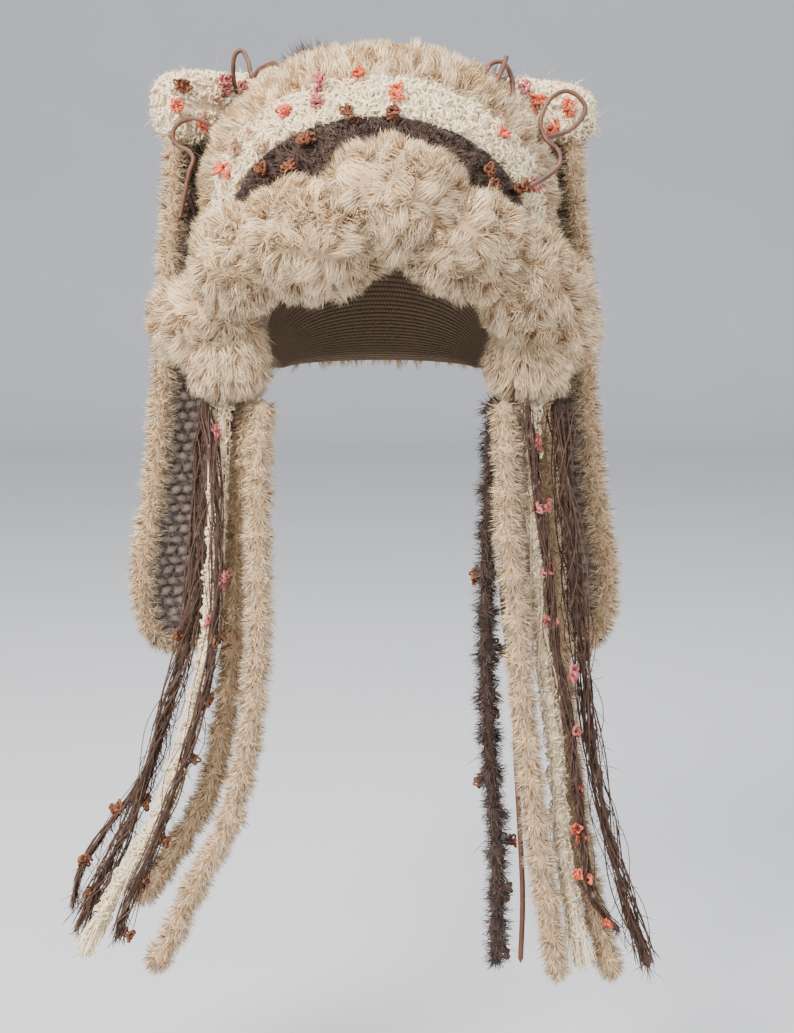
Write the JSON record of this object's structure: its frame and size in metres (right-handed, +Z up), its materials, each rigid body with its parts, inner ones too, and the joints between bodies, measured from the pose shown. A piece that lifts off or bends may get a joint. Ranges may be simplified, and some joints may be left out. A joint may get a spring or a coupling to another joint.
{
  "type": "earflap hat",
  "caption": "Knitted earflap hat with a ruffled fur brim, striped cap, long lop ears, bunches of hanging ties and leather lace loops.",
  "frame": {"origin": "inside the top of the cap, where the wearer's head meets it", "axes": "+Z up, the wearer looks along -Y, +X to the right as seen from the front"},
  "size_m": [0.4414, 0.3007, 0.6922],
  "materials": {
    "beige_fur": "long soft fur yarn",
    "cream_boucle": "nubby boucle yarn",
    "brown_fuzz": "fuzzy eyelash yarn",
    "taupe_knit": "chunky knit",
    "brown_yarn": "loose mohair yarn",
    "blossom_yarn": "yarn with small knots",
    "leather_lace": "waxed leather"
  },
  "bodies": {
    "root": {"brown_band": "brown_fuzz", "cream_band": "cream_boucle", "top_fur": "beige_fur", "rear_brown_band": "brown_fuzz", "back_fur": "beige_fur", "brim_ruffle": "beige_fur", "left_ear_top": "cream_boucle", "left_ear_band": "brown_fuzz", "left_ear_border": "beige_fur", "left_ear_panel": "taupe_knit", "left_earflap": "beige_fur", "right_ear_top": "cream_boucle", "right_ear_band": "brown_fuzz", "right_ear_border": "beige_fur", "right_ear_panel": "taupe_knit", "right_earflap": "beige_fur", "left_fur_cord_outer": "beige_fur", "left_fur_cord_inner": "beige_fur", "left_cream_cord": "cream_boucle", "left_brown_bundle": "brown_yarn", "left_rust_cord": "brown_yarn", "left_thin_cord": "brown_yarn", "right_fur_cord_inner": "beige_fur", "right_fur_cord_outer": "beige_fur", "right_cream_cord": "cream_boucle", "right_blossom_cord": "blossom_yarn", "right_brown_bundle": "brown_yarn", "right_chenille_cord": "brown_fuzz", "right_leather_strip": "leather_lace", "left_upper_lace": "leather_lace", "left_lower_lace": "leather_lace", "right_upper_lace": "leather_lace", "right_lower_lace": "leather_lace"}
  },
  "joints": []
}
